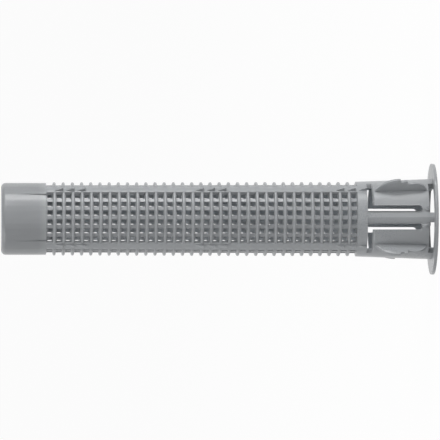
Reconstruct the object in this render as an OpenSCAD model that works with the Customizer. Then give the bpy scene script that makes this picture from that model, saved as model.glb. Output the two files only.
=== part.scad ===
// Injection anchor sleeve: a closed, perforated tube that carries mortar into
// hollow brick, with a slotted centring head and a thin collar at its mouth.
// It stands on its collar. The axis is +Z, z = 0 is the collar's outer face, and
// the narrow bars of the head face -Y and +Y. Angles run from a narrow bar.
// The two mould halves part along Y, so every window is a straight pull.

/* [Overall] */
// Length from the collar's outer face to the closed tip
sleeve_len = 85; // [70:1:130]
// Bore that the rod and the mortar fill along the mesh
rod_bore_d = 11.4; // [10.6:0.1:11.8]
// Facets of a full circle on screen
circle_facets = 96; // [48:8:160]

/* [Collar] */
// Diameter of the collar that stops against the wall
collar_d = 21.8; // [20:0.1:26]
// Thickness of the collar
collar_t = 0.6; // [0.4:0.1:1.2]
// Small chamfer on the mouth's edge
mouth_chamfer = 0.2; // [0.1:0.05:0.3]
// Circle to which the collar is open behind the narrow bars
collar_hole_d = 16; // [16:0.1:17]

/* [Head] */
// Bore of the head, wide enough for the mixer's nozzle
mouth_bore_d = 13.2; // [12.4:0.1:13.6]
// Outer diameter of the head at the collar
head_root_d = 15.8; // [15:0.1:15.9]
// Outer diameter of the plain ring where the mesh begins
ring_d = 14.7; // [14.5:0.1:15.2]
// Height of the openings between collar and head
mouth_gap_h = 0.9; // [0.6:0.05:1.6]
// Angle at which those openings end
mouth_gap_end = 59.5; // [45:0.5:66]
// Height of the band that joins the wings at their roots
root_band_h = 1.4; // [0.8:0.05:2]
// Length of the wings above the root band
wing_len = 9.65; // [8:0.05:12]
// Height of the slot above each wing
wing_gap_h = 1; // [0.6:0.1:1.4]
// Angle at which that slot ends, at the wide bar
wing_gap_end = 66.5; // [60:0.5:72]
// Chamfer on the free end of a wing
wing_chamfer = 0.35; // [0.1:0.05:0.5]
// Width of a narrow bar between two wings
bar_w = 2.5; // [2:0.1:3.6]
// Width of a narrow bar where it meets the collar
bar_root_w = 1.9; // [1.2:0.1:2.5]
// Width of the slot along each narrow bar
bar_slot_w = 1.1; // [0.6:0.05:1.4]
// Depth of a narrow bar's two facets along its middle
bar_facet_top = 0.03; // [0.02:0.01:0.1]
// Depth of those facets along its edges
bar_facet_edge = 0.38; // [0.2:0.02:0.5]
// Height of the plain ring between head and mesh
ring_h = 1.9; // [1.4:0.1:3]
// Chamfer from the plain ring down to the mesh
ring_chamfer = 0.2; // [0.1:0.05:0.3]
// Height of the cone that narrows the head's bore
bore_cone_h = 1.8; // [1:0.1:3]

/* [Fins] */
// Circle that the crests of the four fins reach
fin_d = 20.85; // [19:0.05:21.8]
// Thickness of a fin
fin_t = 0.55; // [0.4:0.05:0.9]
// Angle of a fin from the narrow bar
fin_angle = 45; // [38:1:52]
// Height of a fin's crest above the collar's outer face
fin_crest_z = 7.1; // [6.5:0.05:8]
// Setback of a fin's start from the wing's free end
fin_setback = 0.15; // [0.1:0.05:1]
// Radius of the long back of a fin
fin_back_r = 5.3; // [4.5:0.1:8]
// Step down behind the crest
fin_step = 0.55; // [0.3:0.05:0.8]
// Length of the notch behind the crest
fin_notch = 0.7; // [0.4:0.05:1]
// Rise from the notch to the tab beside it
fin_tab_h = 0.25; // [0.1:0.05:0.5]
// Length of the tab
fin_tab = 0.7; // [0.4:0.05:1]
// Drop from the tab to the rear lobe
fin_lobe_drop = 0.9; // [0.5:0.05:1.2]
// Height at which the rear lobe of a fin meets the head
fin_rear_z = 1.9; // [1.7:0.05:2.2]
// Radius of the rear lobe
fin_rear_r = 2.55; // [2.4:0.05:4]

/* [Mesh] */
// Body diameter between the ridges, at the closed tip
body_tip_d = 13.15; // [12.8:0.05:13.3]
// Body diameter between the ridges, at the head
body_head_d = 13.4; // [13.2:0.05:13.8]
// Distance from one ridge to the next
ridge_pitch = 1.8; // [1.6:0.05:2.4]
// Height of a ridge
ridge_h = 0.6; // [0.3:0.05:0.6]
// Width of a ridge at its crest
ridge_crest_w = 0.34; // [0.2:0.02:0.4]
// Flat beside a ridge, before the window starts
ridge_land = 0.05; // [0.02:0.01:0.1]
// Length of a window along the sleeve
window_len = 1; // [0.7:0.02:1.04]
// Angle that a window spans around the sleeve
window_angle = 8.8; // [6:0.1:9.5]
// Angle from one row of windows to the next
row_angle = 15.4; // [14:0.1:15.5]
// Angle that a window on the back spans
back_window_angle = 6.4; // [5:0.1:7]
// Angle by which the rows on the back are set to one side
back_row_shift = 1.2; // [0:0.1:1.2]
// Rows of windows on the front and on the back
face_rows = 6; // [2:2:6]
// Rows of windows on each side
side_rows = 4; // [2:2:4]

/* [Strips and barbs] */
// Angle at which a smooth strip starts
strip_start = 43.8; // [43.8:0.1:48]
// Angle at which a smooth strip ends
strip_end = 59.5; // [55:0.5:61]
// Height of a strip above the body
strip_h = 0.62; // [0.61:0.01:0.8]
// Height of a barb above the strip
barb_h = 0.75; // [0.4:0.05:1]
// Distance of a barb from the strip's edge
barb_inset = 0.3; // [0.1:0.05:0.5]
// Thickness of a barb
barb_t = 0.5; // [0.4:0.05:0.8]
// Length of a barb
barb_len = 1.65; // [1:0.05:1.9]
// Distance from one barb to the next
barb_pitch = 2.2; // [2:0.05:2.6]
// Distance from the lowest barb to the plain ring's lower edge
barb_ring_gap = 0.05; // [0.05:0.05:2]
// Distance from the highest barb to the plain tip
barb_tip_gap = 1.65; // [0.5:0.05:4]
// Barbs in a group
barbs_in_group = 3; // [1:1:4]
// Groups of barbs along the sleeve
barb_groups = 3; // [1:1:4]

/* [Tip] */
// Diameter of the closed tip
tip_d = 14.1; // [13.8:0.05:14.4]
// Length of the plain part at the tip
tip_len = 8.7; // [5:0.1:12]
// Thickness of the end wall
tip_wall = 1.2; // [0.8:0.1:2]
// Radius on the tip's outer edge
tip_round = 0.85; // [0.3:0.05:1]
// Chamfer from the mesh up to the tip
tip_chamfer = 0.15; // [0.1:0.05:0.3]
// Depth of the two flats on the tip, at the mesh
relief_depth = 0.25; // [0.1:0.05:0.4]
// Angle at which a flat ends
relief_angle = 41; // [30:0.5:45]
// Length over which a flat runs out
relief_len = 5.8; // [3:0.1:7]

/* [Hidden] */
$fn = circle_facets;
cut = 1;
plastic_colour = [0.59, 0.6, 0.61];

collar_r = collar_d / 2;
mouth_bore_r = mouth_bore_d / 2;
rod_bore_r = rod_bore_d / 2;
tip_r = tip_d / 2;
head_root_r = head_root_d / 2;
collar_hole_r = collar_hole_d / 2;
ring_r = ring_d / 2;

band_z = collar_t + mouth_gap_h;
wing_z = band_z + root_band_h;
wing_end_z = wing_z + wing_len;
ring_z = wing_end_z + wing_gap_h;
mesh_z = ring_z + ring_h;
tip_z = sleeve_len - tip_len;
mesh_len = tip_z - mesh_z;

window_columns = floor((mesh_len - window_len) / ridge_pitch) + 1;
first_window_z = mesh_z + (mesh_len - (window_columns - 1) * ridge_pitch) / 2;
ridge_base_w = ridge_pitch - window_len - 2 * ridge_land;
ridge_shoulder_w = (ridge_base_w + ridge_crest_w) / 2 + 0.3 * (ridge_base_w - ridge_crest_w);
ridge_shoulder_h = 0.62 * ridge_h;

window_overlap = 0.2;
window_r = (body_tip_d + body_head_d) / 4;
window_reach = max(body_tip_d, body_head_d) / 2 + window_overlap;
head_wall_r = mouth_bore_r + 0.3;
strip_root_r = rod_bore_r + 0.3;
barb_angle = strip_start + asin((2 * barb_inset + barb_t) / body_tip_d);
first_barb_z = ring_z + barb_ring_gap;
last_group_z = tip_z - barb_tip_gap - barb_len - barb_pitch * (barbs_in_group - 1);
barb_group_pitch = (last_group_z - first_barb_z) / max(1, barb_groups - 1);

function body_r(z) =
    let (share = (z - mesh_z) / mesh_len)
    (body_head_d + (body_tip_d - body_head_d) * share) / 2;

function head_r(z) =
    let (share = (z - collar_t) / (mesh_z - collar_t))
    head_root_r + (ring_r - head_root_r) * share;

// Points on an arc of the given radius that bulges outwards between two points
function arc_between(from, to, radius, steps = 8) =
    let (
        chord = to - from,
        half = norm(chord) / 2,
        side = [chord[1], -chord[0]] / (2 * half),
        centre = (from + to) / 2 - side * sqrt(radius * radius - half * half),
        spread = asin(half / radius),
        start = atan2(from[1] - centre[1], from[0] - centre[0])
    )
    [for (i = [0 : steps])
        centre + radius * [cos(start + 2 * spread * i / steps), sin(start + 2 * spread * i / steps)]];

// The wall is cylindrical under each column of windows, so the taper goes in small steps
function column_z(column) = first_window_z + column * ridge_pitch;
function column_r(column) = body_r(column_z(column));

// Section of the ridge below a column of windows
function ridge_points(column) =
    let (
        z = column_z(column - 0.5),
        r = body_r(z)
    )
    [
        [column_r(column - 1), z - ridge_base_w / 2],
        [r + ridge_shoulder_h, z - ridge_shoulder_w / 2],
        [r + ridge_h, z - ridge_crest_w / 2],
        [r + ridge_h, z + ridge_crest_w / 2],
        [r + ridge_shoulder_h, z + ridge_shoulder_w / 2],
        [column_r(column), z + ridge_base_w / 2]
    ];

// Half section of the whole wall, with the ridges in it
module wall_section() {
    outer = concat(
        [
            [mouth_bore_r + mouth_chamfer, 0],
            [collar_r, 0],
            [collar_r, collar_t],
            [head_root_r, collar_t],
            [ring_r, mesh_z],
            [column_r(0), mesh_z + ring_chamfer]
        ],
        [for (column = [1 : window_columns - 1])
            each ridge_points(column)],
        [
            [column_r(window_columns - 1), tip_z - tip_chamfer],
            [tip_r, tip_z],
            [tip_r, sleeve_len],
            [0, sleeve_len]
        ]
    );
    inner = [
        [0, sleeve_len - tip_wall],
        [rod_bore_r, sleeve_len - tip_wall],
        [rod_bore_r, ring_z + bore_cone_h],
        [mouth_bore_r, ring_z],
        [mouth_bore_r, mouth_chamfer]
    ];
    difference() {
        polygon(concat(outer, inner));
        translate([tip_r - tip_round, sleeve_len - tip_round])
            difference() {
                square(tip_round + cut);
                circle(tip_round);
            }
    }
}

// Places something at an angle on both sides of both narrow bars
module at_four(angle) {
    for (turn = [angle, -angle, 180 + angle, 180 - angle])
        rotate([0, 0, turn - 90])
            children();
}

// A part of a turned ring, from one angle to the other, beside each narrow bar
module ring_part(from, to) {
    for (side = [0, 1])
        mirror([side, 0, 0])
            for (face = [0, 180])
                rotate([0, 0, face - 90 + from])
                    rotate_extrude(angle = to - from)
                        children();
}

module strips() {
    ring_part(strip_start, strip_end)
        polygon([
            [strip_root_r, mesh_z],
            [body_r(mesh_z) + strip_h, mesh_z],
            [body_r(tip_z) + strip_h, tip_z + tip_chamfer],
            [strip_root_r, tip_z + tip_chamfer]
        ]);
}

// A wedge that rises towards the collar and ends in a step, rooted in the wall
module barb(z) {
    r = body_r(z);
    root_r = min(r, head_wall_r);
    rotate([90, 0, 0])
        linear_extrude(height = barb_t, center = true)
            polygon([
                [root_r, z],
                [r + strip_h + barb_h, z],
                [r + strip_h, z + barb_len],
                [root_r, z + barb_len]
            ]);
}

module barbs() {
    at_four(barb_angle)
        for (group = [0 : barb_groups - 1])
            for (step = [0 : barbs_in_group - 1])
                barb(first_barb_z + group * barb_group_pitch + step * barb_pitch);
}

// Distance from the middle of a face at an angle from it
function across(angle) = window_r * sin(angle);

// Windows of the face at a turn, each cut straight in from outside to the bore
module windows(rows, turn, angle, shift) {
    last = (rows - 1) / 2;
    edge_x = across(last * row_angle + angle / 2 + shift);
    core_y = sqrt(rod_bore_r * rod_bore_r - edge_x * edge_x) - window_overlap;
    rotate([90, 0, turn])
        translate([0, 0, core_y])
            linear_extrude(height = window_reach - core_y)
                for (column = [0 : window_columns - 1])
                    for (row = [-last : last]) {
                        start = across(row * row_angle - angle / 2 + shift);
                        end = across(row * row_angle + angle / 2 + shift);
                        translate([start, column_z(column) - window_len / 2])
                            square([end - start, window_len]);
                    }
}

// Two shallow flats on the tip that run out towards its end
module tip_reliefs() {
    ring_part(-relief_angle, relief_angle)
        polygon([
            [tip_r - relief_depth, tip_z - tip_chamfer],
            [tip_r + cut, tip_z - tip_chamfer],
            [tip_r + cut, tip_z + relief_len],
            [tip_r, tip_z + relief_len]
        ]);
}

// What stays of the narrow bars when the head is cut open
module bars(width) {
    translate([-width / 2, -collar_r, -2 * cut])
        cube([width, collar_d, mesh_z + 2 * cut]);
}

// Openings beside the narrow bars, through the collar and behind it
module mouth_gaps() {
    difference() {
        ring_part(0, mouth_gap_end)
            polygon([
                [mouth_bore_r - cut, -cut],
                [collar_hole_r, -cut],
                [collar_hole_r, collar_t],
                [head_root_r + cut, collar_t],
                [head_root_r + cut, band_z],
                [mouth_bore_r - cut, band_z]
            ]);
        bars(bar_root_w);
    }
}

// Slots above the free ends of the wings, with the wings' end chamfer
module wing_gaps() {
    edge_r = head_r(wing_end_z);
    difference() {
        ring_part(0, wing_gap_end)
            polygon([
                [mouth_bore_r - cut, wing_end_z],
                [edge_r - wing_chamfer, wing_end_z],
                [edge_r + cut, wing_end_z - wing_chamfer - cut],
                [edge_r + cut, ring_z],
                [mouth_bore_r - cut, ring_z]
            ]);
        bars(bar_w);
    }
}

// Slots along the narrow bars, with a round lower end
module bar_slots() {
    slot_r = bar_slot_w / 2;
    for (side = [-1, 1])
        translate([side * (bar_w / 2 + slot_r), 0, 0])
            rotate([90, 0, 0])
                linear_extrude(height = collar_d, center = true) {
                    translate([0, wing_z + slot_r])
                        circle(slot_r);
                    translate([-slot_r, wing_z + slot_r])
                        square([bar_slot_w, ring_z - wing_z - slot_r]);
                }
}

// Two facets along each narrow bar, which meet in a ridge along its middle
module bar_facets() {
    lean = atan((head_root_r - ring_r) / (mesh_z - collar_t));
    for (face = [0, 180])
        rotate([0, 0, face])
            intersection() {
                translate([0, head_root_r, collar_t])
                    rotate([lean, 0, 0])
                        translate([0, 0, -cut])
                            linear_extrude(height = mesh_z)
                                polygon([
                                    [0, -bar_facet_top],
                                    [bar_w / 2, -bar_facet_edge],
                                    [bar_w / 2, cut],
                                    [-bar_w / 2, cut],
                                    [-bar_w / 2, -bar_facet_edge]
                                ]);
                translate([-bar_w, 0, collar_t])
                    cube([2 * bar_w, collar_r, ring_z - collar_t]);
            }
}

// One fin: a rear lobe, a tab, a notch, a crest and a long back
module fin() {
    crest = [fin_d / 2, fin_crest_z];
    front_z = wing_end_z - wing_chamfer - fin_setback;
    front = [head_r(front_z), front_z];
    step_foot = crest - [fin_step, 0];
    notch_end = step_foot - [0, fin_notch];
    tab = notch_end + [fin_tab_h, 0];
    tab_end = tab - [0, fin_tab];
    lobe = tab_end - [fin_lobe_drop, 0];
    rear = [head_r(fin_rear_z), fin_rear_z];
    rotate([90, 0, 0])
        linear_extrude(height = fin_t, center = true)
            polygon(concat(
                [[head_wall_r, fin_rear_z]],
                arc_between(rear, lobe, fin_rear_r),
                [tab_end, tab, notch_end, step_foot],
                arc_between(crest, front, fin_back_r),
                [[head_wall_r, front_z]]
            ));
}

// The moulded sleeve, in one piece
module sleeve() {
    color(plastic_colour)
        difference() {
            union() {
                rotate_extrude()
                    wall_section();
                strips();
                barbs();
                at_four(fin_angle)
                    fin();
            }
            windows(face_rows, 0, window_angle, 0);
            windows(face_rows, 180, back_window_angle, back_row_shift);
            for (turn = [90, 270])
                windows(side_rows, turn, window_angle, 0);
            tip_reliefs();
            mouth_gaps();
            wing_gaps();
            bar_slots();
            bar_facets();
        }
}

sleeve();
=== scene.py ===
"""Looks of the injection anchor sleeve: one moulding in mid-grey plastic, standing on its collar.

The wall is a mesh of lengthwise lines and rows, open where the mould closes on itself.
Geometry Nodes repeat one pitch of the ridged mesh along the sleeve, and the barbs and fins around it.
"""

import math

import bmesh
import bpy
from mathutils import Matrix, Vector


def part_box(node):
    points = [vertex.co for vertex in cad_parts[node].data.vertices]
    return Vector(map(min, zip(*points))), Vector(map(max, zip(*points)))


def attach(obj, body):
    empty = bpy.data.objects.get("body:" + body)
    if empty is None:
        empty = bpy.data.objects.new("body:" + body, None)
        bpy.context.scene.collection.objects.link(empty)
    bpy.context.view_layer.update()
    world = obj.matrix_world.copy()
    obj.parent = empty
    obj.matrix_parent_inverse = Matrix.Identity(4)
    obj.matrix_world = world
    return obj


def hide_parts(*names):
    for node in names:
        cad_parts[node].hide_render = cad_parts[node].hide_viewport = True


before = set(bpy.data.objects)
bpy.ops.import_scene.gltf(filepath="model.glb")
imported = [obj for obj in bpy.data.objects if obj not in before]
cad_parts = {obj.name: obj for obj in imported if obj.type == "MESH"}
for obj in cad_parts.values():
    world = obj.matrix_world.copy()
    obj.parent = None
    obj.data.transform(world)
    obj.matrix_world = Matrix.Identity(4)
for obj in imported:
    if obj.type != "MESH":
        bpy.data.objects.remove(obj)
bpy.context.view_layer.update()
LOW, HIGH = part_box("sleeve")

MM = 0.001
# Factors that take the height out of a place
LEVEL = (1.0, 1.0, 0.0)

# Overall sizes, in millimetres
SLEEVE_LEN = (HIGH.z - LOW.z) / MM
COLLAR_R = 10.9
COLLAR_T = 0.6
ROD_BORE_R = 5.7
MOUTH_BORE_R = 6.6
MOUTH_CHAMFER = 0.2
COLLAR_HOLE_R = 8.0

# Head, from the collar up
HEAD_ROOT_R = 7.9
RING_R = 7.35
MOUTH_GAP_H = 0.9
ROOT_BAND_H = 1.4
MOUTH_GAP_END = 59.5
WING_LEN = 9.65
WING_GAP_H = 1.0
WING_CHAMFER = 0.35
RING_H = 1.9
RING_CHAMFER = 0.2
BORE_CONE_H = 1.8
BAR_W = 2.5
BAR_ROOT_W = 1.9
BAR_SLOT_W = 1.1
# Steps round the lower end of a slot, in degrees
SLOT_END_TURNS = (0, 30, 60, 90)
# How far a narrow bar's facets drop at its middle and its edge, and how far inside the edge they end
BAR_FACET_TOP = 0.03
BAR_FACET_EDGE = 0.38
BAR_FOOT_INSET = 0.03
# What lies farther in than this from the plain ring's radius is no part of a bar's ridge
BAR_RIDGE_MARGIN = 0.2

# Ridged mesh, with its angles in degrees
BODY_HEAD_R = 6.7
BODY_TIP_R = 6.575
RIDGE_PITCH = 1.8
RIDGE_H = 0.6
WINDOW_LEN = 1.0
WINDOW_ANGLE = 8.8
BACK_WINDOW_ANGLE = 6.4
BACK_ROW_SHIFT = 1.2
ROW_ANGLE = 15.4
FACE_ROWS = 6
SIDE_ROWS = 4
# Section of a ridge: distance from its middle, and height as a share of the ridge
RIDGE_SECTION = ((-0.35, 0.0), (-0.29, 0.6), (-0.21, 0.9), (-0.13, 0.99), (0.0, 1.0),
                 (0.13, 0.99), (0.21, 0.9), (0.29, 0.6), (0.35, 0.0))

# Strips and barbs
STRIP_START = 43.8
STRIP_END = 59.5
STRIP_H = 0.62
SHOULDER_SHARE = 0.8
# Angle past a strip's edge, and share of the strip's height there, for its rounded shoulder
STRIP_SHOULDER = ((-0.3, 0.0), (0.1, SHOULDER_SHARE), (0.7, 1.0))
BARB_H = 0.75
BARB_INSET = 0.3
BARB_T = 0.5
BARB_LEN = 1.65
BARB_PITCH = 2.2
BARB_RING_GAP = 0.05
BARB_TIP_GAP = 1.65
BARBS_IN_GROUP = 3
BARB_GROUPS = 3

# Tip
TIP_R = 7.05
TIP_LEN = 8.7
TIP_WALL = 1.2
TIP_ROUND = 0.85
# Steps round the rim of the end, in degrees
TIP_ROUND_TURNS = range(0, 91, 15)
# Rings of the flat end, as shares of its radius
END_RINGS = (0.6, 0.25, 0.0)
TIP_CHAMFER = 0.15
RELIEF_DEPTH = 0.25
RELIEF_LEN = 5.8
RELIEF_ANGLE = 41.0
RELIEF_STEP = 0.15

# Fins
FIN_R = 10.42
FIN_T = 0.55
FIN_ANGLE = 45.0
FIN_CREST_Z = 7.1
FIN_SETBACK = 0.15
FIN_BACK_R = 5.3
FIN_STEP = 0.55
FIN_NOTCH = 0.7
FIN_TAB_H = 0.25
FIN_TAB = 0.7
FIN_LOBE_DROP = 0.9
FIN_REAR_Z = 1.9
FIN_REAR_R = 2.55
FIN_ARC_STEPS = 12

# Fins and barbs stand on both sides of both narrow bars
PLATES_AROUND = 4

# Roundings, and the angles from which an edge is rounded on the wall and on the plates, or shaded as sharp
RIM_ROUND = 0.045
FIN_ROUND = 0.09
BARB_ROUND = 0.05
RIM_ANGLE = math.radians(35)
PLATE_RIM_ANGLE = math.radians(30)
SHARP_ANGLE = math.radians(52)

# Points nearer than this are one point
MERGE_DISTANCE = 0.002
# Margin for comparing the places of lines, and the gap that keeps two kinds of lines apart
LINE_MARGIN = 0.01
LINE_GAP = 0.02

# The fins are rooted at this radius, inside the head's wall
HEAD_WALL_R = MOUTH_BORE_R + 0.3

# Heights and radii that follow
BAND_Z = COLLAR_T + MOUTH_GAP_H
WING_Z = BAND_Z + ROOT_BAND_H
WING_END_Z = WING_Z + WING_LEN
RING_Z = WING_END_Z + WING_GAP_H
MESH_Z = RING_Z + RING_H
TIP_Z = SLEEVE_LEN - TIP_LEN
MESH_LEN = TIP_Z - MESH_Z
COLUMNS = math.floor((MESH_LEN - WINDOW_LEN) / RIDGE_PITCH) + 1
FIRST_WINDOW_Z = MESH_Z + (MESH_LEN - (COLUMNS - 1) * RIDGE_PITCH) / 2
BODY_MID_R = (BODY_HEAD_R + BODY_TIP_R) / 2
TAPER = (BODY_TIP_R - BODY_HEAD_R) / MESH_LEN
TAPER_MID_Z = MESH_Z + MESH_LEN / 2


def body_shift(z):
    """How far the tapered body's surface lies outside its middle radius at a height."""
    return TAPER * (z - TAPER_MID_Z)


def head_radius(z):
    """Outer radius of the head at a height."""
    share = (z - COLLAR_T) / (MESH_Z - COLLAR_T)
    return HEAD_ROOT_R + (RING_R - HEAD_ROOT_R) * share


class Line:
    """A lengthwise line of the wall. A straight one keeps its distance from the middle of its face, as the
    windows' sides do, and a radial one keeps its angle. Faces are counted in quarter turns from the front."""

    def __init__(self, kinds, turn=0, across=None, angle=None):
        self.kinds = kinds
        self.turn = turn
        self.across = across
        self.angle = angle

    def direction(self, radius, slot_half=None):
        """Angle of the line's point at a radius, in degrees from the front."""
        if self.across is None:
            first = math.degrees(math.asin(FACE_EDGE / radius))
            last = 90 - math.degrees(math.asin(SIDE_EDGE / radius))
            fold = folded(self.angle)
            kept = min(max(fold, first), last)
            return self.angle + (kept - fold) * quarter_sign(self.angle)
        across = self.across
        if slot_half is not None and "slot" in self.kinds:
            middle = math.copysign(SLOT_MIDDLE, across)
            across = min(max(across, middle - slot_half), middle + slot_half)
        return 90 * self.turn + math.degrees(math.asin(across / radius))

    def point(self, radius, z, slot_half=None):
        """Place of the line's point. Outside the head and inside the bore the lines run straight outwards."""
        reach = min(max(radius, ROD_BORE_R), HEAD_ROOT_R)
        turn = math.radians(self.direction(reach, slot_half))
        return Vector((radius * math.sin(turn), -radius * math.cos(turn), z))


def folded(angle):
    """Angle from the nearest narrow bar, from 0 to 90 degrees."""
    return abs((angle + 90) % 180 - 90)


def quarter_sign(angle):
    """1 where the angle from the narrow bar grows with the angle, and -1 where it shrinks."""
    return 1 if (angle % 180) < 90 else -1


def window_sides(turn):
    """Distances from the middle of a face to the two sides of each of its rows of windows."""
    rows = SIDE_ROWS if turn % 2 else FACE_ROWS
    half, shift = (BACK_WINDOW_ANGLE / 2, BACK_ROW_SHIFT) if turn == 2 else (WINDOW_ANGLE / 2, 0)
    middles = [(row - (rows - 1) / 2) * ROW_ANGLE + shift for row in range(rows)]
    return [[BODY_MID_R * math.sin(math.radians(middle + side * half)) for side in (-1, 1)]
            for middle in middles]


# Radial lines keep at least these distances from the middle of the front or back, and of a side
FACE_EDGE = window_sides(0)[-1][1] + LINE_GAP
SIDE_EDGE = window_sides(1)[-1][1]
# Distances from the middle of a narrow bar to its facets' foot, its edge, and its slot's middle and far side
FACET_FOOT = BAR_W / 2 - BAR_FOOT_INSET
BAR_EDGE = BAR_W / 2
SLOT_MIDDLE = (BAR_W + BAR_SLOT_W) / 2
SLOT_EDGE = BAR_EDGE + BAR_SLOT_W


def face_lines(turn):
    """Lines of the front or back: the windows' sides, the narrow bar's ridge and feet, and its slots."""
    offsets = [offset for pair in window_sides(turn) for offset in pair] + [0.0]
    for size in (FACET_FOOT, BAR_EDGE, SLOT_EDGE, BAR_ROOT_W / 2):
        offsets += [-size, size]
    lines = [
        Line(["land", "wing"], angle=90 * turn - RELIEF_ANGLE),
        Line(["face", "wing"], angle=90 * turn - RELIEF_ANGLE + RELIEF_STEP),
    ]
    for offset in sorted(offsets):
        kinds = ["face"]
        if BAR_EDGE <= abs(offset) <= SLOT_EDGE:
            kinds.append("slot")
        if abs(offset) > SLOT_EDGE - LINE_MARGIN:
            kinds.append("wing")
        if abs(offset) < FACET_FOOT + LINE_MARGIN:
            kinds.append("bar")
        lines.append(Line(kinds, turn, across=offset))
    lines.append(Line(["face", "wing"], angle=90 * turn + RELIEF_ANGLE - RELIEF_STEP))
    lines.append(Line(["land", "wing"], angle=90 * turn + RELIEF_ANGLE))
    return lines


def side_lines(turn):
    """Lines of a side: the sides of its windows."""
    return [Line(["side"], turn, across=offset) for pair in window_sides(turn) for offset in pair]


def shoulder_kinds(share):
    """Kinds of a strip's line with this share of the strip's height."""
    if share == 0:
        return ["land", "wing"]
    return ["shoulder", "wing"] if share < 1 else ["strip", "wing"]


def strip_lines(start, end):
    """Lines of one smooth strip, with a rounded shoulder on both sides."""
    lines = [Line(shoulder_kinds(share), angle=start + step) for step, share in STRIP_SHOULDER]
    lines.append(Line(["strip", "wing"], angle=(start + end) / 2))
    lines += [Line(shoulder_kinds(share), angle=end - step) for step, share in reversed(STRIP_SHOULDER)]
    return lines


def all_lines():
    """Every line, anticlockwise from the front seen from the tip."""
    lines = []
    for half in (0, 2):
        lines += face_lines(half)
        lines += strip_lines(90 * half + STRIP_START, 90 * half + STRIP_END)
        lines += side_lines(half + 1)
        lines += strip_lines(90 * half + 180 - STRIP_END, 90 * half + 180 - STRIP_START)
    return lines


LINES = all_lines()


def cell_openings(left, right):
    """Names of the openings that the stretch between two lines belongs to."""
    start = left.direction(HEAD_ROOT_R)
    step = (right.direction(HEAD_ROOT_R) - start) % 360
    middle = start + step / 2
    fold = folded(middle)
    across = HEAD_ROOT_R * math.sin(math.radians(fold))
    side_across = HEAD_ROOT_R * math.cos(math.radians(fold))
    names = set()
    if fold < STRIP_START and BAR_EDGE < across < SLOT_EDGE:
        names.add("bar_slot")
    if across > BAR_ROOT_W / 2 and fold < MOUTH_GAP_END:
        names.add("mouth_gap")
    if across > BAR_EDGE and side_across > SIDE_EDGE:
        names.add("wing_gap")
    if left.across is not None and right.across is not None and left.turn == right.turn:
        place = (left.across + right.across) / 2
        if any(low < place < high for low, high in window_sides(left.turn)):
            names.add("window")
    return names


CELL_OPENINGS = [cell_openings(LINES[i], LINES[(i + 1) % len(LINES)]) for i in range(len(LINES))]


class Row:
    """One closed ring of the wall: its outer and inner height and radius, and what opens above it.

    Some kinds of lines have a special radius, and the outside is shifted as a whole for the body's taper.
    Where the collar stands free of the head, its rim spans several rows and closes on itself."""

    def __init__(self, z, radius, inner_r, inner_z=None, special=None, slot_half=None, shift=0.0, opens=(),
                 ridge=False, facets=False, rim_rows=None):
        self.z = z
        self.radius = radius
        self.inner_r = inner_r
        self.inner_z = z if inner_z is None else inner_z
        self.special = special or {}
        self.slot_half = slot_half
        self.shift = shift
        self.opens = set(opens)
        self.ridge = ridge
        self.facets = facets
        self.rim_rows = rim_rows

    def outer_point(self, line):
        radius = self.radius
        for kind in line.kinds:
            radius = self.special.get(kind, radius)
        if self.facets and "bar" in line.kinds:
            radius = facet_radius(line.across, self.radius)
        return line.point(radius + self.shift, self.z, self.slot_half)

    def inner_point(self, line):
        return line.point(self.inner_r, self.inner_z, self.slot_half)


def facet_radius(across, radius):
    """Radius of a narrow bar's two facets, which meet in a ridge along its middle."""
    share = abs(across) / BAR_EDGE
    drop = BAR_FACET_TOP + (BAR_FACET_EDGE - BAR_FACET_TOP) * share
    return math.hypot(across, radius - drop)


def strip_special(base):
    """Radii of the strips and their shoulders over a body of a given radius."""
    return {"strip": base + STRIP_H, "shoulder": base + SHOULDER_SHARE * STRIP_H}


def wall_mesh(name, rows):
    """A mesh of the wall between rows: outer and inner skin, and the sides of its openings."""
    mesh = bmesh.new()
    on_ridge = mesh.faces.layers.int.new("ridge")
    outer_of = mesh.verts.layers.float.new("outer")
    outer = [[mesh.verts.new(row.outer_point(line) * MM) for line in LINES] for row in rows]
    inner = [[mesh.verts.new(row.inner_point(line) * MM) for line in LINES] for row in rows]
    for ring in outer:
        for vert in ring:
            vert[outer_of] = 1.0
    count = len(LINES)

    def corners(skin, level, cell):
        """A cell's corners on one skin: low left, low right, top right and top left, seen from outside."""
        right = (cell + 1) % count
        return skin[level][cell], skin[level][right], skin[level + 1][right], skin[level + 1][cell]

    def is_open(level, cell):
        if level < 0 or level >= len(rows) - 1:
            return False
        return bool(rows[level].opens & CELL_OPENINGS[cell % count])

    def add(points, ridge=False):
        face = mesh.faces.new(points)
        face.smooth = True
        face[on_ridge] = int(ridge)

    def in_gap(cell):
        return "mouth_gap" in CELL_OPENINGS[cell % count]

    for level in range(len(rows) - 1):
        for cell in range(count):
            out_a, out_b, out_c, out_d = corners(outer, level, cell)
            in_a, in_b, in_c, in_d = corners(inner, level, cell)
            if is_open(level, cell):
                if not is_open(level, cell - 1):
                    add((out_a, in_a, in_d, out_d))
                if not is_open(level, cell + 1):
                    add((out_b, out_c, in_c, in_b))
                if not is_open(level - 1, cell) and rows[level - 1].rim_rows is None:
                    add((out_a, out_b, in_b, in_a))
                if not is_open(level + 1, cell) and rows[level + 1].rim_rows is None:
                    add((out_d, in_d, in_c, out_c))
                continue
            add((out_a, out_b, out_c, out_d), rows[level].ridge)
            if rows[level].rim_rows is None or not in_gap(cell):
                add((in_a, in_d, in_c, in_b))
                continue
            if rows[level].rim_rows:
                end_a, end_b = corners(outer, level + rows[level].rim_rows, cell)[:2]
                add((out_a, end_a, end_b, out_b))
                if not in_gap(cell - 1):
                    add((out_a, in_a, end_a))
                if not in_gap(cell + 1):
                    add((out_b, end_b, in_b))
    data = bpy.data.meshes.new(name)
    mesh.to_mesh(data)
    mesh.free()
    return data


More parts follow.
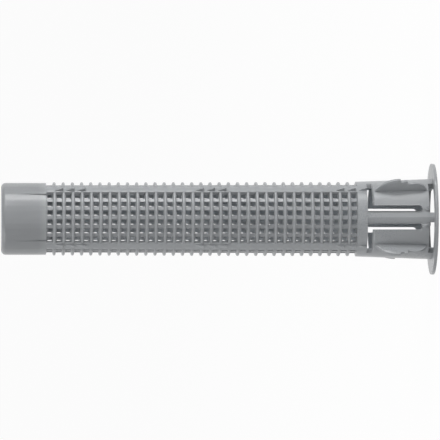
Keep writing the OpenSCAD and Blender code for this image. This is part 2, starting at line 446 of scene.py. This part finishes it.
def slot_end_rows():
    """Rows that round the lower ends of the slots beside the narrow bars."""
    half = BAR_SLOT_W / 2
    rows = []
    for turn in SLOT_END_TURNS:
        width = half * math.sin(math.radians(turn))
        z = WING_Z + half * (1 - math.cos(math.radians(turn)))
        rows.append(Row(z, head_radius(z), MOUTH_BORE_R, slot_half=width, opens=("bar_slot",), facets=True))
    return rows


def collar_rows():
    """Rows of the mouth's edge and the collar, which opens towards the gaps beside the narrow bars."""
    foot_z = MOUTH_CHAMFER
    return [
        Row(foot_z, MOUTH_BORE_R, MOUTH_BORE_R, opens=("mouth_gap",)),
        Row(0, MOUTH_BORE_R + MOUTH_CHAMFER, MOUTH_BORE_R, inner_z=foot_z, opens=("mouth_gap",)),
        Row(0, COLLAR_HOLE_R, MOUTH_BORE_R, inner_z=foot_z, rim_rows=3),
        Row(0, COLLAR_R, MOUTH_BORE_R, inner_z=foot_z, rim_rows=0),
        Row(COLLAR_T, COLLAR_R, MOUTH_BORE_R, inner_z=foot_z, rim_rows=0),
        Row(COLLAR_T, COLLAR_HOLE_R, MOUTH_BORE_R, inner_z=foot_z, opens=("mouth_gap",)),
        Row(COLLAR_T, HEAD_ROOT_R, MOUTH_BORE_R, inner_z=foot_z, opens=("mouth_gap",), facets=True),
    ]


def head_rows():
    """Rows of the collar, the head and the plain ring, up to the first windows."""
    first_z = FIRST_WINDOW_Z - WINDOW_LEN / 2
    rows = collar_rows()
    rows.append(Row(BAND_Z, head_radius(BAND_Z), MOUTH_BORE_R, facets=True))
    rows += slot_end_rows()
    lip_z = WING_END_Z - WING_CHAMFER
    lip_r = head_radius(WING_END_Z) - WING_CHAMFER
    rows.append(Row(lip_z, head_radius(lip_z), MOUTH_BORE_R, opens=("bar_slot",), facets=True))
    rows.append(Row(WING_END_Z, head_radius(WING_END_Z), MOUTH_BORE_R, special={"wing": lip_r}, facets=True,
                    opens=("bar_slot", "wing_gap")))
    rows.append(Row(RING_Z, head_radius(RING_Z), MOUTH_BORE_R, facets=True))
    rows.append(Row(RING_Z, head_radius(RING_Z), MOUTH_BORE_R))
    cone_z = RING_Z + BORE_CONE_H
    rows.append(Row(cone_z, head_radius(cone_z), ROD_BORE_R))
    strip = strip_special(BODY_MID_R)
    shift = body_shift(MESH_Z)
    ring_strip = {kind: radius + shift for kind, radius in strip.items()}
    rows.append(Row(MESH_Z, RING_R, ROD_BORE_R, special=ring_strip))
    chamfer_z = MESH_Z + RING_CHAMFER
    rows.append(Row(chamfer_z, BODY_MID_R, ROD_BORE_R, special=strip, shift=body_shift(chamfer_z)))
    rows.append(Row(first_z, BODY_MID_R, ROD_BORE_R, special=strip, shift=body_shift(first_z)))
    return rows


def pitch_rows():
    """Rows of one pitch of the mesh: a ring of windows and the ridge above it, before the taper."""
    strip = strip_special(BODY_MID_R)
    start = FIRST_WINDOW_Z - WINDOW_LEN / 2
    window_top = start + WINDOW_LEN
    end = start + RIDGE_PITCH
    ridge_z = (window_top + end) / 2
    rows = [
        Row(start, BODY_MID_R, ROD_BORE_R, special=strip, opens=("window",)),
        Row(window_top, BODY_MID_R, ROD_BORE_R, special=strip),
    ]
    for place, share in RIDGE_SECTION:
        inner_z = window_top if place < 0 else end
        radius = BODY_MID_R + RIDGE_H * share
        rows.append(Row(ridge_z + place, radius, ROD_BORE_R, inner_z=inner_z, special=strip, ridge=True))
    rows[-1].ridge = False
    rows.append(Row(end, BODY_MID_R, ROD_BORE_R, special=strip))
    return rows


def tip_rows():
    """Rows of the last ring of windows and of the closed tip, ending on the axis."""
    strip = strip_special(BODY_MID_R)
    start = FIRST_WINDOW_Z - WINDOW_LEN / 2 + (COLUMNS - 1) * RIDGE_PITCH
    window_top = start + WINDOW_LEN
    foot_z = TIP_Z - TIP_CHAMFER
    rows = [
        Row(start, BODY_MID_R, ROD_BORE_R, special=strip, shift=body_shift(start), opens=("window",)),
        Row(window_top, BODY_MID_R, ROD_BORE_R, special=strip, shift=body_shift(window_top)),
        Row(foot_z, BODY_MID_R, ROD_BORE_R, special=strip, shift=body_shift(foot_z)),
        Row(TIP_Z, TIP_R, ROD_BORE_R, special={"face": TIP_R - RELIEF_DEPTH}),
        Row(TIP_Z + RELIEF_LEN, TIP_R, ROD_BORE_R),
    ]
    inner_top = SLEEVE_LEN - TIP_WALL
    corner_z = SLEEVE_LEN - TIP_ROUND
    corner_r = TIP_R - TIP_ROUND
    for turn in TIP_ROUND_TURNS:
        z = corner_z + TIP_ROUND * math.sin(math.radians(turn))
        radius = corner_r + TIP_ROUND * math.cos(math.radians(turn))
        rows.append(Row(z, radius, ROD_BORE_R, inner_z=inner_top))
    for share in END_RINGS:
        rows.append(Row(SLEEVE_LEN, corner_r * share, ROD_BORE_R * share, inner_z=inner_top))
    return rows


def arc_between(start, end, radius):
    """Points on an arc that bulges outwards between two points of a fin's outline."""
    chord = end - start
    half = chord.length / 2
    side = Vector((chord.y, -chord.x)).normalized()
    centre = (start + end) / 2 - side * math.sqrt(radius * radius - half * half)
    spread = math.asin(half / radius)
    first = math.atan2(start.y - centre.y, start.x - centre.x)
    turns = [first + 2 * spread * step / FIN_ARC_STEPS for step in range(FIN_ARC_STEPS + 1)]
    return [centre + radius * Vector((math.cos(turn), math.sin(turn))) for turn in turns]


def fin_outline():
    """Outline of a fin as radius and height: a rear lobe, a tab, a notch, a crest and a long back."""
    crest = Vector((FIN_R, FIN_CREST_Z))
    front_z = WING_END_Z - WING_CHAMFER - FIN_SETBACK
    front = Vector((head_radius(front_z), front_z))
    step_foot = crest - Vector((FIN_STEP, 0))
    notch_end = step_foot - Vector((0, FIN_NOTCH))
    tab = notch_end + Vector((FIN_TAB_H, 0))
    tab_end = tab - Vector((0, FIN_TAB))
    lobe = tab_end - Vector((FIN_LOBE_DROP, 0))
    rear = Vector((head_radius(FIN_REAR_Z), FIN_REAR_Z))
    points = [Vector((HEAD_WALL_R, FIN_REAR_Z))]
    points += arc_between(rear, lobe, FIN_REAR_R)
    points += [tab_end, tab, notch_end, step_foot]
    points += arc_between(crest, front, FIN_BACK_R)
    points += [Vector((HEAD_WALL_R, front_z))]
    return points


def barb_outline():
    """Outline of a barb as radius and height: a ramp that ends in a step towards the collar."""
    foot_r = BODY_MID_R + STRIP_H
    return [
        Vector((BODY_MID_R, 0)),
        Vector((foot_r + BARB_H, 0)),
        Vector((foot_r, BARB_LEN)),
        Vector((BODY_MID_R, BARB_LEN)),
    ]


def round_edges(mesh, edges, size, segments):
    """Rounds edges of a mesh by a size in millimetres."""
    bmesh.ops.bevel(mesh, geom=edges, offset=size * MM, offset_type="OFFSET", segments=segments, profile=0.5,
                    affect="EDGES", clamp_overlap=True)


def plate_mesh(name, outline, thickness, rounding):
    """A flat plate that stands out from the wall along +X, with rounded edges."""
    mesh = bmesh.new()
    sides = []
    for y in (-thickness / 2, thickness / 2):
        sides.append([mesh.verts.new(Vector((point.x, y, point.y)) * MM) for point in outline])
    mesh.faces.new(sides[0])
    mesh.faces.new(reversed(sides[1]))
    count = len(outline)
    for i in range(count):
        j = (i + 1) % count
        mesh.faces.new((sides[0][j], sides[0][i], sides[1][i], sides[1][j]))
    bmesh.ops.recalc_face_normals(mesh, faces=mesh.faces)
    rims = [edge for edge in mesh.edges if edge.calc_face_angle() > PLATE_RIM_ANGLE]
    round_edges(mesh, rims, rounding, 2)
    bmesh.ops.triangulate(mesh, faces=[face for face in mesh.faces if len(face.verts) > 4])
    for face in mesh.faces:
        face.smooth = True
    data = bpy.data.meshes.new(name)
    mesh.to_mesh(data)
    mesh.free()
    return data


class Socket:
    """An output of a node. Arithmetic on it adds Math nodes to its tree."""

    def __init__(self, graph, output):
        self.graph = graph
        self.output = output

    def math(self, operation, *others):
        return self.graph.math(operation, self, *others)

    def __add__(self, other):
        return self.math("ADD", other)

    def __sub__(self, other):
        return self.math("SUBTRACT", other)

    def __mul__(self, other):
        return self.math("MULTIPLY", other)

    def __rsub__(self, other):
        return self.graph.math("SUBTRACT", other, self)

    __radd__ = __add__


class Graph:
    """A node tree that is written as calls: add() makes any node, and math() a Math node."""

    def __init__(self, tree):
        self.tree = tree

    def add(self, kind, settings=None, inputs=None, output=0):
        node = self.tree.nodes.new(kind)
        for key, value in (settings or {}).items():
            if key == "stops":
                self.set_stops(node.color_ramp, value)
            else:
                setattr(node, key, value)
        for key, value in (inputs or {}).items():
            self.feed(node.inputs[key], value)
        return Socket(self, node.outputs[output]) if len(node.outputs) else node

    def feed(self, socket, value):
        if isinstance(value, Socket):
            self.tree.links.new(value.output, socket)
        else:
            socket.default_value = value

    def set_stops(self, ramp, stops):
        while len(ramp.elements) < len(stops):
            ramp.elements.new(1.0)
        for element, (place, colour) in zip(ramp.elements, stops):
            element.position = place
            element.color = colour

    def math(self, operation, *values):
        return self.add("ShaderNodeMath", {"operation": operation}, dict(enumerate(values)))

    def place(self, x, y, z):
        return self.add("ShaderNodeCombineXYZ", None, {0: x, 1: y, 2: z})


class Shape(Graph):
    """A Geometry Nodes tree with named inputs, run once on a mesh."""

    def __init__(self, name, inputs):
        super().__init__(bpy.data.node_groups.new(name, "GeometryNodeTree"))
        face = self.tree.interface
        face.new_socket("Geometry", in_out="INPUT", socket_type="NodeSocketGeometry")
        self.sockets = {}
        for label, kind in inputs.items():
            self.sockets[label] = face.new_socket(label, in_out="INPUT", socket_type=kind)
        face.new_socket("Geometry", in_out="OUTPUT", socket_type="NodeSocketGeometry")
        self.group_input = self.tree.nodes.new("NodeGroupInput")
        self.group_output = self.tree.nodes.new("NodeGroupOutput")

    def given(self, label):
        return Socket(self, self.group_input.outputs[label])

    def finish(self, geometry, material):
        """Ends the tree: real geometry in the sleeve's plastic."""
        real = self.add("GeometryNodeRealizeInstances", None, {"Geometry": geometry})
        painted = self.add("GeometryNodeSetMaterial", None, {"Geometry": real, "Material": material})
        self.tree.links.new(painted.output, self.group_output.inputs["Geometry"])

    def run(self, mesh, values):
        """The plain mesh that the tree makes of a mesh, with values for its named inputs."""
        carrier = add_object(mesh.name + "_carrier", mesh)
        modifier = carrier.modifiers.new("shape", "NODES")
        modifier.node_group = self.tree
        for label, value in values.items():
            modifier[self.sockets[label].identifier] = value
        return made_mesh(carrier, modifier)


def add_object(name, data):
    """A new object in the scene."""
    thing = bpy.data.objects.new(name, data)
    bpy.context.scene.collection.objects.link(thing)
    return thing


def made_mesh(carrier, modifier):
    """The plain mesh that a modifier makes of its carrier, which is then removed."""
    bpy.context.view_layer.update()
    depsgraph = bpy.context.evaluated_depsgraph_get()
    result = bpy.data.meshes.new_from_object(
        carrier.evaluated_get(depsgraph), preserve_all_data_layers=True, depsgraph=depsgraph)
    carrier.modifiers.remove(modifier)
    bpy.data.objects.remove(carrier)
    return result


def repeated_mesh(material):
    """Tree that repeats one pitch along the axis and tapers what lies on the outside."""
    shape = Shape("ridged_mesh", {
        "Pitches": "NodeSocketInt", "Pitch": "NodeSocketFloat", "Taper": "NodeSocketFloat",
        "Middle Height": "NodeSocketFloat", "Merge Distance": "NodeSocketFloat",
    })
    line = shape.add("GeometryNodeMeshLine", {"mode": "OFFSET"}, {
        "Count": shape.given("Pitches"), "Offset": shape.place(0.0, 0.0, shape.given("Pitch")),
    })
    copies = shape.add("GeometryNodeInstanceOnPoints", None, {
        "Points": line, "Instance": shape.given("Geometry"),
    })
    real = shape.add("GeometryNodeRealizeInstances", None, {"Geometry": copies})
    position = shape.add("GeometryNodeInputPosition")
    height = shape.add("ShaderNodeSeparateXYZ", None, {"Vector": position}, output="Z")
    flat = shape.add("ShaderNodeVectorMath", {"operation": "MULTIPLY"}, {0: position, 1: LEVEL})
    outward = shape.add("ShaderNodeVectorMath", {"operation": "NORMALIZE"}, {0: flat})
    outer = shape.add("GeometryNodeInputNamedAttribute", {"data_type": "FLOAT"}, {"Name": "outer"})
    amount = (height - shape.given("Middle Height")) * shape.given("Taper") * outer
    shift = shape.add("ShaderNodeVectorMath", {"operation": "SCALE"}, {0: outward, "Scale": amount})
    moved = shape.add("GeometryNodeSetPosition", None, {"Geometry": real, "Offset": shift})
    merged = shape.add("GeometryNodeMergeByDistance", None, {
        "Geometry": moved, "Distance": shape.given("Merge Distance"),
    })
    shape.finish(merged, material)
    return shape


def repeated_around(material):
    """Tree that sets a plate at an angle on both sides of both narrow bars, in groups along the axis."""
    shape = Shape("around_the_bars", {
        "Angle": "NodeSocketFloat", "Groups": "NodeSocketInt", "In Group": "NodeSocketInt",
        "First Height": "NodeSocketFloat", "Group Pitch": "NodeSocketFloat", "Pitch": "NodeSocketFloat",
        "Taper": "NodeSocketFloat", "Middle Height": "NodeSocketFloat",
    })
    total = shape.given("Groups") * shape.given("In Group") * PLATES_AROUND
    points = shape.add("GeometryNodePoints", None, {"Count": total})
    index = shape.add("GeometryNodeInputIndex")
    quarter = index.math("MODULO", PLATES_AROUND)
    place = (index * (1 / PLATES_AROUND)).math("FLOOR")
    in_group = place.math("MODULO", shape.given("In Group"))
    group = shape.math("DIVIDE", place, shape.given("In Group")).math("FLOOR")
    z = shape.given("First Height") + group * shape.given("Group Pitch") + in_group * shape.given("Pitch")
    half_turn = (quarter * 0.5).math("FLOOR") * math.pi
    side = 1.0 - quarter.math("MODULO", 2) * 2.0
    turn = half_turn + side * shape.given("Angle") - math.pi / 2
    outward = (z - shape.given("Middle Height")) * shape.given("Taper")
    spot = shape.place(turn.math("COSINE") * outward, turn.math("SINE") * outward, z)
    placed = shape.add("GeometryNodeSetPosition", None, {"Geometry": points, "Position": spot})
    copies = shape.add("GeometryNodeInstanceOnPoints", None, {
        "Points": placed, "Instance": shape.given("Geometry"), "Rotation": shape.place(0.0, 0.0, turn),
    })
    shape.finish(copies, material)
    return shape


def moulding(material):
    """The whole sleeve as one plain mesh."""
    mesh_tree = repeated_mesh(material)
    plate_tree = repeated_around(material)
    parts = [
        wall_mesh("head", head_rows()),
        mesh_tree.run(wall_mesh("pitch", pitch_rows()), {
            "Pitches": COLUMNS - 1, "Pitch": RIDGE_PITCH * MM, "Taper": TAPER,
            "Middle Height": TAPER_MID_Z * MM, "Merge Distance": MERGE_DISTANCE * MM,
        }),
        wall_mesh("tip", tip_rows()),
    ]
    wall = bmesh.new()
    for part in parts:
        wall.from_mesh(part)
    bmesh.ops.remove_doubles(wall, verts=wall.verts, dist=MERGE_DISTANCE * MM)
    round_rims(wall)
    first_barb_z = RING_Z + BARB_RING_GAP
    last_group_z = TIP_Z - BARB_TIP_GAP - BARB_LEN - BARB_PITCH * (BARBS_IN_GROUP - 1)
    group_pitch = (last_group_z - first_barb_z) / (BARB_GROUPS - 1)
    barb_angle = STRIP_START + math.degrees(math.asin((BARB_INSET + BARB_T / 2) / BODY_TIP_R))
    plates = [
        plate_tree.run(plate_mesh("fin", fin_outline(), FIN_T, FIN_ROUND), {
            "Angle": math.radians(FIN_ANGLE), "Groups": 1, "In Group": 1, "First Height": 0.0,
            "Group Pitch": 0.0, "Pitch": 0.0, "Taper": 0.0, "Middle Height": 0.0,
        }),
        plate_tree.run(plate_mesh("barb", barb_outline(), BARB_T, BARB_ROUND), {
            "Angle": math.radians(barb_angle), "Groups": BARB_GROUPS, "In Group": BARBS_IN_GROUP,
            "First Height": first_barb_z * MM, "Group Pitch": group_pitch * MM, "Pitch": BARB_PITCH * MM,
            "Taper": TAPER, "Middle Height": TAPER_MID_Z * MM,
        }),
    ]
    for plate in plates:
        wall.from_mesh(plate)
    data = bpy.data.meshes.new("sleeve_moulding")
    wall.to_mesh(data)
    wall.free()
    data.materials.clear()
    data.materials.append(material)
    data.set_sharp_from_angle(angle=SHARP_ANGLE)
    sharpen_bar_ridges(data)
    return evenly_shaded(data)


def sharpen_bar_ridges(mesh):
    """Keeps the ridge between the two facets of each narrow bar crisp."""
    least_r = RING_R - BAR_RIDGE_MARGIN
    last_z = RING_Z + MERGE_DISTANCE

    def on_ridge(index):
        place = mesh.vertices[index].co / MM
        return abs(place.x) < MERGE_DISTANCE and abs(place.y) > least_r and place.z < last_z

    for edge in mesh.edges:
        if on_ridge(edge.vertices[0]) and on_ridge(edge.vertices[1]):
            edge.use_edge_sharp = True


def evenly_shaded(mesh):
    """The mesh with the large faces setting the shading of the narrow ones beside them."""
    carrier = add_object("shading_carrier", mesh)
    modifier = carrier.modifiers.new("shading", "WEIGHTED_NORMAL")
    modifier.keep_sharp = True
    return made_mesh(carrier, modifier)


def round_rims(wall):
    """Rounds the rims of the openings and the sharp outer edges, but not the small ridges."""
    on_ridge = wall.faces.layers.int["ridge"]
    rims = []
    for edge in wall.edges:
        if len(edge.link_faces) != 2 or any(face[on_ridge] for face in edge.link_faces):
            continue
        if edge.is_convex and edge.calc_face_angle() > RIM_ANGLE:
            rims.append(edge)
    round_edges(wall, rims, RIM_ROUND, 1)


# The plastic's two greys, and where its shades lie between them
DARK_GREY = (0.287, 0.299, 0.311, 1.0)
LIGHT_GREY = (0.34, 0.353, 0.366, 1.0)
GREY_RANGE = (0.3, 0.7)
# Scales of its noises, and how much of its shade is flow and not patches
FLOW_SCALE = 260.0
FLOW_STRETCH = (1.0, 1.0, 0.25)
FLOW_ROUGHNESS = 0.55
PATCH_SCALE = 70.0
GRAIN_SCALE = 5200.0
FLOW_SHARE = 0.6
# Roughness of its skin, what the noises add, and what the matt end face adds
SKIN_ROUGHNESS = 0.2
PATCH_ROUGHNESS = 0.12
GRAIN_ROUGHNESS = 0.06
END_ROUGHNESS = 0.4
PLASTIC_IOR = 1.49
# Its bumps, in metres, and how much of them is flow against grain
BUMP_HEIGHT = 0.00006
BUMP_STRENGTH = 0.1
FLOW_BUMP = 1.5
# Painted light: how much lighter the inside walls are painted; painted shade: how much darker the closed tip
# is painted
PAINTED_INSIDE_LIGHT = 1.5
PAINTED_TIP_SHADE_DROP = 0.2
# Where the painted inside light, the painted tip shade and the matt end face start and are full, in
# millimetres past the bore, above the tip's foot and above the end
PAINTED_INSIDE_LIGHT_FADE = (0.3, 0.05)
PAINTED_TIP_SHADE_FADE = (-0.2, 1.5)
END_FADE = (-0.15, -0.02)


def blank_material(name):
    """A new material, and its empty node tree."""
    material = bpy.data.materials.new(name)
    material.use_nodes = True
    graph = Graph(material.node_tree)
    graph.tree.nodes.clear()
    return material, graph


def fade(graph, value, start, end):
    """0 to 1 where a value in metres goes from one length to another, in millimetres."""
    return graph.add("ShaderNodeMapRange", None, {
        "Value": value, "From Min": start * MM, "From Max": end * MM,
    })


def past_bore(graph, place, height):
    """How far a place lies outside the bore, which is wider in the head."""
    flat = graph.add("ShaderNodeVectorMath", {"operation": "MULTIPLY"}, {0: place, 1: LEVEL})
    from_axis = graph.add("ShaderNodeVectorMath", {"operation": "LENGTH"}, {0: flat}, output="Value")
    in_head = fade(graph, height, RING_Z + BORE_CONE_H, RING_Z)
    bore = ROD_BORE_R * MM + in_head * ((MOUTH_BORE_R - ROD_BORE_R) * MM)
    return from_axis - bore


def plastic():
    """Mid-grey moulded plastic: satin skin, faint flow shades and a fine grain, with painted light on the
    inside walls and painted shade on the closed tip.
    """
    material, graph = blank_material("moulded_plastic")
    place = graph.add("ShaderNodeTexCoord", output="Object")
    height = graph.add("ShaderNodeSeparateXYZ", None, {"Vector": place}, output="Z")
    stretched = graph.add("ShaderNodeVectorMath", {"operation": "MULTIPLY"}, {0: place, 1: FLOW_STRETCH})
    flow = graph.add("ShaderNodeTexNoise", None, {
        "Vector": stretched, "Scale": FLOW_SCALE, "Detail": 3.0, "Roughness": FLOW_ROUGHNESS,
    })
    patches = graph.add("ShaderNodeTexNoise", None, {"Vector": place, "Scale": PATCH_SCALE, "Detail": 2.0})
    grain = graph.add("ShaderNodeTexNoise", None, {"Vector": place, "Scale": GRAIN_SCALE, "Detail": 2.0})
    # Painted light: the inside walls are painted lighter, in place of light that comes in through the windows
    painted_inside_light = fade(graph, past_bore(graph, place, height), *PAINTED_INSIDE_LIGHT_FADE)
    # Painted shade: the closed tip is painted darker than the rest of the plastic
    painted_tip_shade = fade(graph, height, TIP_Z + PAINTED_TIP_SHADE_FADE[0], TIP_Z + PAINTED_TIP_SHADE_FADE[1])
    end_face = fade(graph, height, SLEEVE_LEN + END_FADE[0], SLEEVE_LEN + END_FADE[1])
    shade = flow * FLOW_SHARE + patches * (1 - FLOW_SHARE)
    grey = graph.add("ShaderNodeValToRGB", {
        "stops": tuple(zip(GREY_RANGE, (DARK_GREY, LIGHT_GREY))),
    }, {"Fac": shade})
    # Colour share: painted light lifts the inside walls, painted shade darkens the closed tip
    share = 1.0 + painted_inside_light * PAINTED_INSIDE_LIGHT - painted_tip_shade * PAINTED_TIP_SHADE_DROP
    colour = graph.add("ShaderNodeVectorMath", {"operation": "SCALE"}, {0: grey, "Scale": share})
    skin = SKIN_ROUGHNESS + patches * PATCH_ROUGHNESS + grain * GRAIN_ROUGHNESS + end_face * END_ROUGHNESS
    bump = graph.add("ShaderNodeBump", None, {
        "Height": grain + flow * FLOW_BUMP, "Strength": BUMP_STRENGTH, "Distance": BUMP_HEIGHT,
    })
    shader = graph.add("ShaderNodeBsdfPrincipled", None, {
        "Base Color": colour, "Roughness": skin, "Normal": bump, "IOR": PLASTIC_IOR,
    })
    graph.add("ShaderNodeOutputMaterial", None, {"Surface": shader})
    return material


# The studio: its white, the floor's own grey, the share of it that shows the shadow, and the even light
WHITE = (1.0, 1.0, 1.0, 1.0)
FLOOR_GREY = (0.9, 0.9, 0.9, 1.0)
SHADOW_SHARE = 0.04
WORLD_LIGHT = 0.2
# Half the floor's width in metres, and how far it lies under the collar in millimetres
FLOOR_HALF = 30.0
FLOOR_DROP = 0.02
# Lamps: name, place in metres, sizes across and along the sleeve, and power in watts
LAMPS = (
    ("key", (0.282, -0.11, 0.1), 0.06, 0.19, 0.42),
    ("box", (0.52, -0.5, 0.3), 0.35, 0.5, 1.65),
    ("low", (-0.45, -0.15, 0.5), 0.4, 0.4, 1.7),
    ("front", (0.0, -0.9, 0.13), 0.7, 0.24, 0.35),
    ("back", (-0.15, 0.55, 0.85), 0.5, 0.5, 1.3),
)


def seen_directly(graph):
    """1 for rays that show the background itself, straight, in a reflection or through glass."""
    camera_ray = graph.add("ShaderNodeLightPath", output="Is Camera Ray")
    glossy_ray = graph.add("ShaderNodeLightPath", output="Is Glossy Ray")
    glass_ray = graph.add("ShaderNodeLightPath", output="Is Transmission Ray")
    return camera_ray.math("MAXIMUM", glossy_ray).math("MAXIMUM", glass_ray)


def floor_material():
    """White ground that shows as white and still keeps a soft shadow."""
    material, graph = blank_material("floor_white")
    lit = graph.add("ShaderNodeBsdfDiffuse", None, {"Color": FLOOR_GREY})
    white = graph.add("ShaderNodeEmission", None, {"Color": WHITE, "Strength": 1.0})
    mixed = graph.add("ShaderNodeMixShader", None, {
        0: seen_directly(graph) * (1 - SHADOW_SHARE), 1: lit, 2: white,
    })
    graph.add("ShaderNodeOutputMaterial", None, {"Surface": mixed})
    return material


def floor():
    """A wide plain floor, a hair under the collar, so that the two faces never share a plane."""
    data = bpy.data.meshes.new("floor")
    signs = ((-1, -1), (1, -1), (1, 1), (-1, 1))
    corners = [Vector((x * FLOOR_HALF, y * FLOOR_HALF, -FLOOR_DROP * MM)) for x, y in signs]
    data.from_pydata(corners, [], [(0, 1, 2, 3)])
    data.materials.append(floor_material())
    ground = add_object("floor", data)


# The photograph's view: a long lens, almost square to the sleeve, from a little to the tip's side
FOCUS_Z = 42.1 * MM
FOCUS_X = -0.2 * MM
CAMERA_DISTANCE = 1.119
CAMERA_LENS = 466.5
CAMERA_SENSOR = 36.0
VIEW_LIMIT = 200.0
CAMERA_RISE = math.radians(3.0)
CAMERA_TURN = math.radians(2.7)
CAMERA_ROLL = math.radians(-0.1)


def camera():
    """The camera lies on its side, so that the tip points to the left of the picture."""
    data = bpy.data.cameras.new("camera")
    data.lens = CAMERA_LENS
    data.sensor_width = CAMERA_SENSOR
    data.clip_end = VIEW_LIMIT
    back = Vector((
        -math.sin(CAMERA_TURN) * math.cos(CAMERA_RISE),
        -math.cos(CAMERA_TURN) * math.cos(CAMERA_RISE),
        math.sin(CAMERA_RISE),
    ))
    up = Vector((math.cos(CAMERA_ROLL), 0, math.sin(CAMERA_ROLL)))
    up = (up - back * up.dot(back)).normalized()
    right = up.cross(back)
    place = Vector((FOCUS_X, 0, FOCUS_Z)) + back * CAMERA_DISTANCE
    eye = add_object("camera", data)
    eye.matrix_world = Matrix((
        (right.x, up.x, back.x, place.x),
        (right.y, up.y, back.y, place.y),
        (right.z, up.z, back.z, place.z),
        (0, 0, 0, 1),
    ))
    bpy.context.scene.camera = eye


def area_lamp(name, place, across, along, power):
    """A soft lamp that faces the middle of the sleeve, with its sizes across and along the sleeve."""
    data = bpy.data.lights.new(name, "AREA")
    data.shape = "RECTANGLE"
    data.size = across
    data.size_y = along
    data.energy = power
    lamp = add_object(name, data)
    away = Vector(place) - Vector((0, 0, FOCUS_Z))
    lamp.matrix_world = Matrix.Translation(place) @ away.to_track_quat("Z", "Y").to_matrix().to_4x4()


def light():
    """Plain studio light: a long key from the picture's top, broad weak lamps around it, an even world."""
    for lamp in LAMPS:
        area_lamp(*lamp)
    world = bpy.data.worlds.new("studio")
    world.use_nodes = True
    graph = Graph(world.node_tree)
    graph.tree.nodes.clear()
    dim = graph.add("ShaderNodeBackground", None, {"Color": WHITE, "Strength": WORLD_LIGHT})
    white = graph.add("ShaderNodeBackground", None, {"Color": WHITE, "Strength": 1.0})
    mixed = graph.add("ShaderNodeMixShader", None, {0: seen_directly(graph), 1: dim, 2: white})
    graph.add("ShaderNodeOutputWorld", None, {"Surface": mixed})
    bpy.context.scene.world = world


def main():
    camera()
    material = plastic()
    piece = add_object("sleeve_moulding", moulding(material))
    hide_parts("sleeve")
    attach(piece, "root")
    floor()
    light()
    bpy.context.scene.view_settings.view_transform = "Standard"


main()
